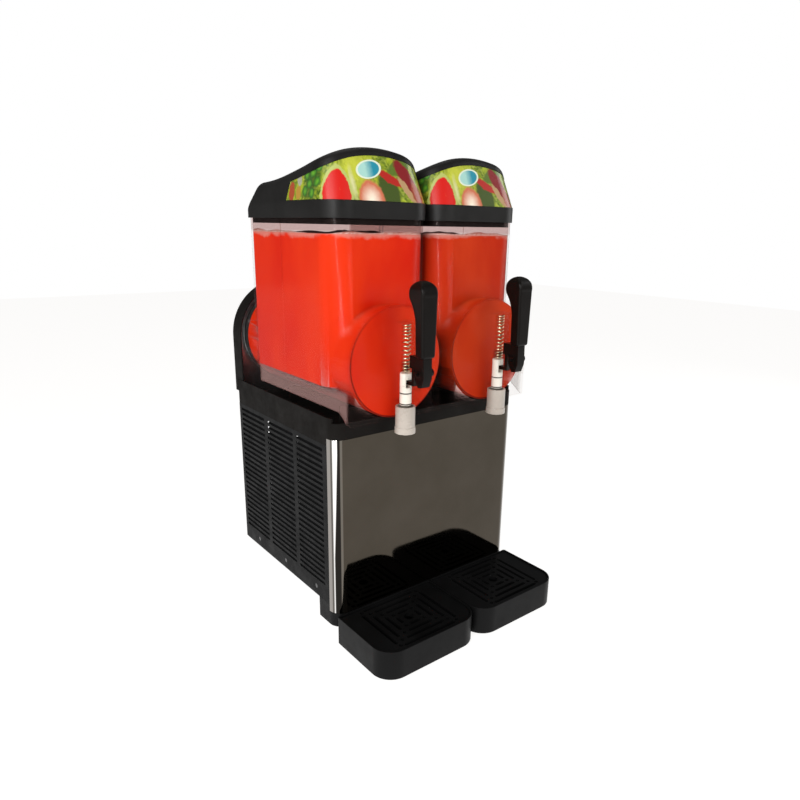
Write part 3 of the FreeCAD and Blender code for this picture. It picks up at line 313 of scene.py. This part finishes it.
# ---- The printed signs ----
class Art(Nodes):
    """Printed fruit pattern over the sign's own sheet coordinates, in metres."""

    def __init__(self, name):
        super().__init__(name)
        sheet = self.add("ShaderNodeUVMap", uv_map="sheet")
        ragged = self.add("ShaderNodeTexNoise")
        ragged.inputs["Scale"].default_value = 120.0
        self.link(sheet.outputs["UV"], ragged.inputs["Vector"])
        shake = self.add("ShaderNodeVectorMath", operation="SUBTRACT")
        self.link(ragged.outputs["Color"], shake.inputs[0])
        shake.inputs[1].default_value = (0.5, 0.5, 0.5)
        small = self.add("ShaderNodeVectorMath", operation="SCALE")
        self.link(shake.outputs["Vector"], small.inputs[0])
        small.inputs["Scale"].default_value = 6 * MM
        moved = self.add("ShaderNodeVectorMath", operation="ADD")
        self.link(sheet.outputs["UV"], moved.inputs[0])
        self.link(small.outputs["Vector"], moved.inputs[1])
        self.smooth = sheet.outputs["UV"]
        self.ragged = moved.outputs["Vector"]

    def oval(self, centre, radii, turn=0.0, ragged=True):
        """How far a point is from an oval's centre, as a share of its radius."""
        mapping = self.add("ShaderNodeMapping", vector_type="TEXTURE")
        mapping.inputs["Location"].default_value = (*centre, 0)
        mapping.inputs["Rotation"].default_value = (0, 0, math.radians(turn))
        mapping.inputs["Scale"].default_value = (*radii, 1)
        self.link(self.ragged if ragged else self.smooth, mapping.inputs["Vector"])
        length = self.add("ShaderNodeVectorMath", operation="LENGTH")
        self.link(mapping.outputs["Vector"], length.inputs[0])
        return length.outputs["Value"]

    def paint(self, below, distance, colour, rim=None, soft=0.06):
        """The colour inside an oval over what is below, with a rim colour round it."""
        if rim:
            below = self.mix(self.ramp(distance, 1.12, 1.12 + soft, 1.0, 0.0), below, rim)
        return self.mix(self.ramp(distance, 1.0 - soft, 1.0, 1.0, 0.0), below, colour)


# Place, radii, turn and colour of each plain shape on the sign.
FRUIT = (
    (-0.188, 0.012, 0.010, 0.015, 0, (0.36, 0.06, 0.015)),
    (-0.167, 0.010, 0.008, 0.012, 0, (0.42, 0.24, 0.03)),
    (-0.166, 0.027, 0.007, 0.008, 20, (0.36, 0.36, 0.26)),
    (0.012, 0.014, 0.020, 0.030, 16, (0.045, 0.075, 0.006)),
    (0.040, 0.052, 0.030, 0.012, 25, (0.09, 0.15, 0.012)),
    (0.050, 0.034, 0.013, 0.036, 38, (0.2, 0.006, 0.008)),
    (0.016, 0.033, 0.026, 0.0075, -24, (0.4, 0.012, 0.006)),
    (0.046, 0.016, 0.006, 0.026, 36, (0.42, 0.26, 0.12)),
    (0.066, 0.012, 0.012, 0.020, 20, (0.3, 0.05, 0.02)),
    (0.105, 0.020, 0.026, 0.020, 10, (0.33, 0.02, 0.01)),
    (0.150, 0.015, 0.020, 0.016, -12, (0.38, 0.18, 0.02)),
)
GRAPES = ((-0.148, 0.012), (-0.137, 0.022), (-0.146, 0.034), (-0.13, 0.036), (-0.128, 0.009),
          (-0.118, 0.024), (-0.119, 0.045))
GRAPE_RADIUS = 8.5 * MM


def leaves(n):
    """Mottled leaves with pale veins, a bright patch, and deep green behind the grapes."""
    mottled = n.noise(55.0, detail=4.0, roughness=0.6, vector=n.ragged, distortion=1.6)
    colour = n.mix(n.ramp(mottled, 0.34, 0.62), (0.02, 0.07, 0.004), (0.33, 0.4, 0.014))
    veins = n.noise(150.0, detail=3.0, vector=n.ragged)
    colour = n.mix(n.ramp(veins, 0.5, 0.68, 0.0, 0.5), colour, (0.5, 0.55, 0.1))
    bright = n.oval((-0.045, 0.045), (0.045, 0.05), ragged=False)
    colour = n.mix(n.ramp(bright, 0.2, 1.0, 0.8, 0.0), colour, (0.55, 0.57, 0.045))
    behind_grapes = n.oval((-0.13, 0.03), (0.026, 0.04))
    return n.mix(n.ramp(behind_grapes, 0.3, 1.0, 0.8, 0.0), colour, (0.012, 0.06, 0.006))


def plain_fruit(n, colour):
    for x, y, width, height, turn, fruit_colour in FRUIT:
        colour = n.paint(colour, n.oval((x, y), (width, height), turn), fruit_colour, soft=0.2)
    return colour


def grapes(n, colour):
    """Green berries, each paler in its middle."""
    for place in GRAPES:
        grape = n.oval(place, (GRAPE_RADIUS, GRAPE_RADIUS))
        skin = n.mix(n.ramp(grape, 0.0, 0.9), (0.12, 0.36, 0.02), (0.008, 0.07, 0.01))
        colour = n.mix(n.ramp(grape, 0.7, 1.05, 1.0, 0.0), colour, skin)
    return colour


def strawberry(n, colour):
    """A red berry with pale seeds and a pale rim, and a soft painted highlight beside it, a pale upright
    streak.
    """
    berry = n.oval((-0.0815, 0.009), (0.0235, 0.0345), 3)
    seeds = n.add("ShaderNodeTexVoronoi")
    seeds.inputs["Scale"].default_value = 190.0
    n.link(n.smooth, seeds.inputs["Vector"])
    from_seed = n.ramp(seeds.outputs["Distance"], 0.04, 0.16)
    red = n.mix(from_seed, (0.6, 0.06, 0.02), (0.56, 0.007, 0.003))
    colour = n.paint(colour, berry, red, rim=(0.4, 0.45, 0.12))
    # Painted highlight: a soft pale upright streak beside the berry.
    painted_highlight = n.oval((-0.052, 0.022), (0.006, 0.03), 4)
    return n.paint(colour, painted_highlight, (0.6, 0.6, 0.28), soft=0.8)


def peach(n, colour):
    """A cut peach, pale in its middle."""
    cut = n.oval((-0.023, 0.0), (0.0245, 0.031), -4)
    flesh = n.mix(n.ramp(cut, 0.15, 0.8), (0.9, 0.78, 0.62), (0.56, 0.15, 0.07))
    return n.paint(colour, cut, flesh, soft=0.14)


def water_drop(n, colour):
    """A smooth blue drop, darker on its right, with a pale rim."""
    drop = n.oval((-0.0195, 0.044), (0.0205, 0.0112), 14, ragged=False)
    rightwards = n.ramp(n.axes(n.ragged)["X"], -0.026, -0.012)
    water = n.mix(rightwards, (0.36, 0.62, 0.55), (0.012, 0.24, 0.33))
    return n.paint(colour, drop, water, rim=(0.7, 0.76, 0.6))


def fruit_sign():
    """Bright leaves with fruit and a drop of water, all with soft edges, under a gloss coat."""
    n = Art("sign_print")
    colour = leaves(n)
    for picture in (plain_fruit, grapes, strawberry, peach, water_drop):
        colour = picture(n, colour)
    n.base(colour)
    n.settings({"Roughness": 0.3, "Coat Weight": 0.5, "Coat Roughness": 0.08})
    n.bump(n.noise(1500.0, detail=1.0), 0.05, 0.1 * MM)
    return n.material


# ---- Every material ----
# Darkest and lightest colour, roughness, grain in mm, its depth, and where they differ, specular and coat.
MOULDINGS = {
    "rubber": ((0.012, 0.012, 0.012), (0.03, 0.03, 0.03), 0.8, 0.8, 0.35, 0.3),
    "side_paint": ((0.0055, 0.0056, 0.0058), (0.0088, 0.0089, 0.0093), 0.55, 0.7, 0.35, 0.09),
    "black_plastic": ((0.0045, 0.0045, 0.0047), (0.0075, 0.0075, 0.0077), 0.48, 0.9, 0.22, 0.12),
    "deck_plastic": ((0.0065, 0.0055, 0.0048), (0.0105, 0.0092, 0.0082), 0.62, 0.9, 0.3, 0.06),
    "black_paint": ((0.007, 0.007, 0.0072), (0.016, 0.016, 0.016), 0.25, 2.0, 0.15, 0.5, 0.4),
    "motor_paint": ((0.15, 0.15, 0.16), (0.22, 0.22, 0.23), 0.4, 1.2, 0.2),
    "switch_black": ((0.007, 0.007, 0.0072), (0.016, 0.016, 0.016), 0.25, 0.6, 0.08),
    "rocker_green": ((0.012, 0.28, 0.06), (0.02, 0.38, 0.09), 0.22, 0.6, 0.08),
    "white_plastic": ((0.93, 0.87, 0.77), (0.97, 0.93, 0.85), 0.34, 1.0, 0.06),
    "frosted_plastic": ((0.36, 0.31, 0.265), (0.47, 0.415, 0.36), 0.3, 0.8, 0.1, 0.5, 0.3),
    "handle_plastic": ((0.0035, 0.0026, 0.0021), (0.0055, 0.0042, 0.0035), 0.34, 0.8, 0.08, 0.12),
    "lid_plastic": ((0.0065, 0.0062, 0.0058), (0.0105, 0.01, 0.0095), 0.4, 0.7, 0.14, 0.2),
    "tray_plastic": ((0.0026, 0.0026, 0.0027), (0.0048, 0.0048, 0.005), 0.42, 0.9, 0.2, 0.1),
}
# Darkest and lightest colour, roughness, and where they differ, the grain's stretch and scale.
METALS = {
    "zinc_steel": ((0.42, 0.43, 0.44), (0.6, 0.61, 0.62), 0.32, (1, 1, 1), 60.0),
    "screw_steel": ((0.1, 0.1, 0.1), (0.18, 0.18, 0.185), 0.35),
    "aluminium": ((0.62, 0.63, 0.64), (0.8, 0.81, 0.82), 0.35, (1, 1, 9)),
    "copper": ((0.5, 0.2, 0.11), (0.78, 0.4, 0.26), 0.3, (1, 1, 1), 90.0),
    "stainless": ((0.5, 0.5, 0.49), (0.68, 0.68, 0.67), 0.25, (1, 14, 1)),
    "spring_steel": ((0.5, 0.4, 0.22), (0.85, 0.76, 0.56), 0.16, (1, 1, 1), 140.0),
}
# Deepest and brightest colour of each drink.
DRINKS = {
    "left": ((0.69, 0.014, 0.002), (0.8, 0.036, 0.005)),
    "right": ((0.52, 0.022, 0.003), (0.66, 0.05, 0.009)),
}


def make_materials():
    made = {name: moulded(name, *look) for name, look in MOULDINGS.items()}
    made.update({name: metal(name, *look) for name, look in METALS.items()})
    made.update({f"slush_{side}": slush_ice(side, *look) for side, look in DRINKS.items()})
    made["mirror_steel"] = mirror_panel()
    made["clear_plastic"] = clear_plastic()
    made["sign_print"] = fruit_sign()
    made["froth"] = froth_ice()
    return made


MATERIALS = make_materials()
SLOT_OF = {part["node"]: part["material_slot"] for part in frame["record"]["subparts"]}


# ---- Mesh helpers ----
def wear(piece, slot):
    """Gives a piece one material and no other."""
    piece.data.materials.clear()
    piece.data.materials.append(MATERIALS[slot])


def body_of_node(node):
    bodies = frame["record"]["behaviour"]["bodies"]
    return next(body for body, members in bodies.items() if node in members)


def in_scene(name, data):
    """A new object in the scene."""
    thing = bpy.data.objects.new(name, data)
    bpy.context.scene.collection.objects.link(thing)
    return thing


def piece_from(mesh, name, body, slot):
    """A new piece from a mesh, riding on a body, with the record's slot where there is one."""
    piece = in_scene(name, mesh)
    wear(piece, slot)
    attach(piece, body)
    return piece


def evaluated_mesh(name, data, kind=None, **settings):
    """The mesh that Blender makes of a mesh or a curve, after one modifier if a kind is given."""
    holder = in_scene(name, data)
    if kind:
        modifier = holder.modifiers.new("change", kind)
        for key, value in settings.items():
            setattr(modifier, key, value)
    graph = bpy.context.evaluated_depsgraph_get()
    mesh = bpy.data.meshes.new_from_object(holder.evaluated_get(graph))
    bpy.data.objects.remove(holder)
    return mesh


def mesh_from(work, name):
    """A mesh from a finished bmesh, which is freed."""
    mesh = bpy.data.meshes.new(name)
    work.to_mesh(mesh)
    work.free()
    return mesh


def smooth(mesh):
    mesh.polygons.foreach_set("use_smooth", [True] * len(mesh.polygons))


def smooth_by_angle(mesh, degrees):
    smooth(mesh)
    mesh.set_sharp_from_angle(angle=math.radians(degrees))


def bridge(work, rings):
    """Four-sided faces between each closed ring of vertices and the next."""
    for ring, following in zip(rings, rings[1:]):
        for i in range(len(ring)):
            j = (i + 1) % len(ring)
            work.faces.new((ring[i], ring[j], following[j], following[i]))


# ---- Pieces that keep the CAD shape, with softened edges ----
SHARP_ANGLE = 32.0


def softened(node, name, width):
    """A copy of a node with its sharp edges rounded by a width, which may be 0, and smooth round faces.

    Its normals are weighted by face area, so that a large face beside a round edge reflects as a plane.
    """
    mesh = frame["nodes"][node].data.copy()
    work = bmesh.new()
    work.from_mesh(mesh)
    bmesh.ops.remove_doubles(work, verts=work.verts, dist=0.001 * MM)
    bmesh.ops.dissolve_limit(work, angle_limit=math.radians(0.5), verts=work.verts, edges=work.edges)
    work.to_mesh(mesh)
    work.free()
    if width:
        mesh = evaluated_mesh("holder", mesh, "BEVEL", width=width, segments=2, limit_method="ANGLE",
                              angle_limit=math.radians(SHARP_ANGLE), use_clamp_overlap=True)
    smooth_by_angle(mesh, SHARP_ANGLE)
    mesh = evaluated_mesh("holder", mesh, "WEIGHTED_NORMAL", keep_sharp=True, weight=100)
    piece = piece_from(mesh, name, body_of_node(node), SLOT_OF[node])
    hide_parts(node)
    return piece


# How wide each node's rounded edges are, in mm.
ROUNDED = {"deck": 1.2, "front_panel": 0.4, "front_plinth": 1.0, "rear_housing": 1.2, "base_pan": 0.4,
           "power_rocker": 0.5, "cooling_rocker": 0.5, "mixing_rocker": 0.5, "switch_bodies": 0.4,
           "feet": 0.8, "cord_gland": 0.5}
ROUNDED_PAIRS = {"drip_tray": 1.4, "drip_grille": 0.7, "handle": 0.0, "lid_shell": 0.6, "spout": 0.7,
                 "tap_piston": 0.4, "bowl": 0.0, "slush": 0.0}
for node, width in ROUNDED.items():
    softened(node, node + "_finished", width * MM)
for side in SIDES:
    for part, width in ROUNDED_PAIRS.items():
        softened(f"{side}_{part}", f"{side}_{part}_finished", width * MM)


# ---- Sign sheets ----
def sheet_position(x, y, half, corner, front):
    """Distance along the sheet from its middle, for a point of a rounded plan."""
    flat = half - corner
    side = math.copysign(1, x)
    x = abs(x)
    bend = front + corner
    if y >= bend:
        return side * (flat + corner * math.pi / 2 + y - bend)
    if x <= flat:
        return side * x
    return side * (flat + corner * math.atan2(x - flat, bend - y))


def sign(side):
    """The lid's printed sheet, with coordinates along and up the sheet for its print."""
    node = f"{side}_lid_sign"
    low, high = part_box(node)
    middle = (low.x + high.x) / 2
    half = (high.x - low.x) / 2
    piece = softened(node, f"{side}_lid_sign_finished", 0.0)
    mesh = piece.data
    layer = mesh.uv_layers.new(name="sheet")
    for loop in mesh.loops:
        point = mesh.vertices[loop.vertex_index].co
        along = sheet_position(point.x - middle, point.y, half, SIGN_CORNER, low.y)
        layer.data[loop.index].uv = (along, point.z - low.z)


# ---- Springs ----
WIRE = 1.0 * MM              # radius of the spring's wire
COIL_TURNS = 14
COIL_STEPS = 16              # control points in one turn
COIL_CLOSING = 0.035         # how far turns are shifted towards the ends, as a share of the length
COIL_SEAT = 0.3 * MM         # how far the coil starts above the foot of the CAD spring


def coil_mesh(name, centre, radius, low, high):
    """A round wire wound in a coil, with its end turns closed up."""
    curve = bpy.data.curves.new(name, "CURVE")
    curve.dimensions = "3D"
    curve.bevel_depth = WIRE
    curve.bevel_resolution = 3
    curve.use_fill_caps = True
    spline = curve.splines.new("NURBS")
    total = COIL_TURNS * COIL_STEPS
    spline.points.add(total)
    for i in range(total + 1):
        share = i / total
        closed = share - COIL_CLOSING * math.sin(2 * math.pi * share)
        angle = 2 * math.pi * i / COIL_STEPS
        x = centre.x + radius * math.cos(angle)
        y = centre.y + radius * math.sin(angle)
        spline.points[i].co = (x, y, low + (high - low) * closed, 1)
    spline.order_u = 4
    spline.use_endpoint_u = True
    mesh = evaluated_mesh(name, curve)
    smooth(mesh)
    return mesh


def spring(side):
    """The tap's coil spring, as a fixed coil on the bowl; the real spring shortens as the piston rises."""
    node = f"{side}_tap_spring"
    low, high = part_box(node)
    centre = (low + high) / 2
    radius = (high.x - low.x) / 2 - WIRE - 0.1 * MM
    mesh = coil_mesh(node, centre, radius, low.z + COIL_SEAT + WIRE, high.z - WIRE)
    piece = piece_from(mesh, f"{side}_spring_coil", f"{side}_bowl", "spring_steel")
    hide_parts(node)
    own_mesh(piece)


# ---- Froth line ----
CORNER_STEPS = 12            # straight pieces in each rounded corner
FROTH_STEP = 4.0 * MM        # about how far apart the froth's points are
FROTH_SEEDS = {"left": 7, "right": 11}
FROTH_SINK = 0.4 * MM        # how far the froth's foot is under the drink's level
FROTH_GAP = 0.4 * MM         # and how far in it is from the drink's sides
# How far in each ring of the froth is, in mm, and its share of the froth's height, where 0 is the foot.
FROTH_RINGS = ((0, 0.0), (0, 1.0), (3, 0.85), (9, 0.3), (16, 0.0))


def rounded_plan(centre_x, half, front, rear, front_corner, rear_corner, step):
    """Points round a plan with rounded corners, anticlockwise from its front right corner."""
    corners = [(centre_x + half - front_corner, front + front_corner, front_corner, -90),
               (centre_x + half - rear_corner, rear - rear_corner, rear_corner, 0),
               (centre_x - half + rear_corner, rear - rear_corner, rear_corner, 90),
               (centre_x - half + front_corner, front + front_corner, front_corner, 180)]
    points = []
    for x, y, radius, start in corners:
        for i in range(CORNER_STEPS + 1):
            angle = math.radians(start + 90 * i / CORNER_STEPS)
            points.append(Vector((x + radius * math.cos(angle), y + radius * math.sin(angle), 0)))
    dense = []
    for a, b in zip(points, points[1:] + points[:1]):
        count = max(1, round((b - a).length / step))
        dense += [a.lerp(b, i / count) for i in range(count)]
    return dense


def froth_line(side):
    """Ice that clings to the wall just above the level, higher in some places."""
    low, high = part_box(f"{side}_slush")
    rng = random.Random(FROTH_SEEDS[side])
    phases = [rng.uniform(0, 2 * math.pi) for _ in range(6)]
    middle = (low.x + high.x) / 2
    half = (high.x - low.x) / 2 - FROTH_GAP
    outline = rounded_plan(middle, half, FROTH_FRONT, FROTH_REAR, FROTH_FRONT_CORNER, FROTH_REAR_CORNER,
                           FROTH_STEP)
    centre = Vector((middle, (FROTH_FRONT + FROTH_REAR) / 2, 0))
    lifts = []
    for i in range(len(outline)):
        turn = 2 * math.pi * i / len(outline)
        swell = sum(math.sin(turn * (3 + 4 * k) + phase) / (1 + k) for k, phase in enumerate(phases))
        lifts.append(max(0.0, 2.2 + 1.7 * swell) * MM)
    work = bmesh.new()
    rings = []
    for inset, share in FROTH_RINGS:
        ring = []
        for i, point in enumerate(outline):
            place = point + (centre - point).normalized() * (inset * MM)
            rise = lifts[i] * share if share else -FROTH_SINK
            ring.append(work.verts.new((place.x, place.y, high.z + rise)))
        rings.append(ring)
    bridge(work, rings)
    mesh = mesh_from(work, "froth")
    smooth(mesh)
    piece_from(mesh, f"{side}_froth_line", f"{side}_bowl", "froth")


# ---- Mould seams ----
SEAM_WIDTH = 2.2 * MM
SEAM_HEIGHT = 0.7 * MM
# A rib's section: places across it as shares of its width, and heights as shares of its thickness.
RIB_SECTION = ((-0.5, 0.0), (-0.42, 0.8), (-0.25, 1.0), (0.25, 1.0), (0.42, 0.8), (0.5, 0.0))


def strip(name, body, slot, path, normal, width, thick):
    """A flat rib with rounded edges along a path, standing out along a normal."""
    work = bmesh.new()
    normal = Vector(normal)
    rings = []
    for i, point in enumerate(path):
        before = path[max(i - 1, 0)]
        after = path[min(i + 1, len(path) - 1)]
        across = (after - before).normalized().cross(normal)
        section = [point + across * (u * width) + normal * (v * thick) for u, v in RIB_SECTION]
        rings.append([work.verts.new(place) for place in section])
    bridge(work, rings)
    work.faces.new(rings[0][::-1])
    work.faces.new(rings[-1])
    bmesh.ops.recalc_face_normals(work, faces=work.faces)
    mesh = mesh_from(work, name)
    smooth_by_angle(mesh, 50.0)
    piece_from(mesh, name, body, slot)


def mould_seams(side):
    """The line up each side wall of a bowl where the mould's halves meet."""
    low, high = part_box(f"{side}_bowl")
    middle = (low.x + high.x) / 2
    half = (high.x - low.x) / 2
    for way, word in ((-1, "outer"), (1, "inner")):
        path = [Vector((middle + way * half, SEAM_Y, z)) for z in SEAM_HEIGHTS]
        name = f"{side}_{word}_seam"
        strip(name, f"{side}_bowl", "clear_plastic", path, (way, 0, 0), SEAM_WIDTH, SEAM_HEIGHT)


for side in SIDES:
    sign(side)
    spring(side)
    froth_line(side)
    mould_seams(side)


# ---- CAD nodes that stay get their slot's material ----
for node, thing in frame["nodes"].items():
    wear(thing, SLOT_OF[node])


# ---- Floor, camera and light ----
def pale_floor():
    """A wide floor that mostly glows by itself, so that it is as white as the background."""
    n = Nodes("floor")
    n.base((0.22, 0.22, 0.22, 1))
    n.settings({"Roughness": 0.75, "Specular IOR Level": 0.1, "Emission Color": (1.0, 0.99, 0.98, 1),
                "Emission Strength": 0.93})
    n.bump(n.noise(90.0), 0.03, 0.5 * MM)
    work = bmesh.new()
    bmesh.ops.create_grid(work, x_segments=2, y_segments=2, size=6.0)
    floor = in_scene("floor", mesh_from(work, "floor"))
    floor.location.z = -0.2 * MM
    floor.data.materials.append(n.material)


def camera():
    """The view from the front left, looking down from just below the height of the bowls' tops."""
    yaw, pitch, roll = (math.radians(a) for a in (38.83, -16.47, 1.09))
    forward = Vector((math.sin(yaw) * math.cos(pitch), math.cos(yaw) * math.cos(pitch), math.sin(pitch)))
    level = Vector((math.cos(yaw), -math.sin(yaw), 0))
    rise = level.cross(forward)
    right = level * math.cos(roll) + rise * math.sin(roll)
    up = rise * math.cos(roll) - level * math.sin(roll)
    lens = bpy.data.cameras.new("camera")
    lens.lens = 29.07
    lens.sensor_width = 36.0
    lens.shift_x = -0.0158
    lens.shift_y = 0.024
    lens.clip_start = 0.02
    holder = in_scene("camera", lens)
    turn = Matrix((right, up, -forward)).transposed().to_4x4()
    holder.matrix_world = Matrix.Translation((-0.69625, -0.91778, 0.68186)) @ turn
    bpy.context.scene.camera = holder


# Place, width and height in metres, and power in watts, of each lamp.
LAMPS = {
    "strip": ((-1.3, -1.02, 0.85), (0.12, 0.9), 5),
    "key": ((-2.1, -1.1, 1.6), (1.4, 1.2), 46),
    "front": ((0.3, -2.4, 1.5), (1.6, 1.2), 20),
    "top": ((0.1, 0.5, 2.6), (1.8, 1.8), 6),
    "right_fill": ((2.2, -0.6, 1.2), (1.2, 1.6), 12),
}
LAMP_TARGET = Vector((0, 0, 0.45))
WORLD_LIGHT = 0.14           # strength of the white world on the object
WORLD_SEEN = 1.0             # and as the background in the picture


def soft_light(name, place, size, power):
    """A rectangular lamp aimed at the middle of the machine."""
    lamp = bpy.data.lights.new(name, "AREA")
    lamp.shape = "RECTANGLE"
    lamp.size, lamp.size_y = size
    lamp.energy = power
    holder = in_scene(name, lamp)
    holder.location = place
    holder.rotation_euler = (LAMP_TARGET - Vector(place)).to_track_quat("-Z", "Y").to_euler()


def white_world():
    """A white background that lights the object only a little."""
    world = bpy.data.worlds.new("studio")
    bpy.context.scene.world = world
    world.use_nodes = True
    tree = world.node_tree
    background = tree.nodes["Background"]
    background.inputs["Color"].default_value = (1.0, 1.0, 1.0, 1)
    path = tree.nodes.new("ShaderNodeLightPath")
    strength = tree.nodes.new("ShaderNodeMapRange")
    strength.inputs["To Min"].default_value = WORLD_LIGHT
    strength.inputs["To Max"].default_value = WORLD_SEEN
    tree.links.new(path.outputs["Is Camera Ray"], strength.inputs["Value"])
    tree.links.new(strength.outputs["Result"], background.inputs["Strength"])


pale_floor()
camera()
for name, (place, size, power) in LAMPS.items():
    soft_light(name, place, size, power)
white_world()
bpy.context.scene.view_settings.view_transform = "Standard"
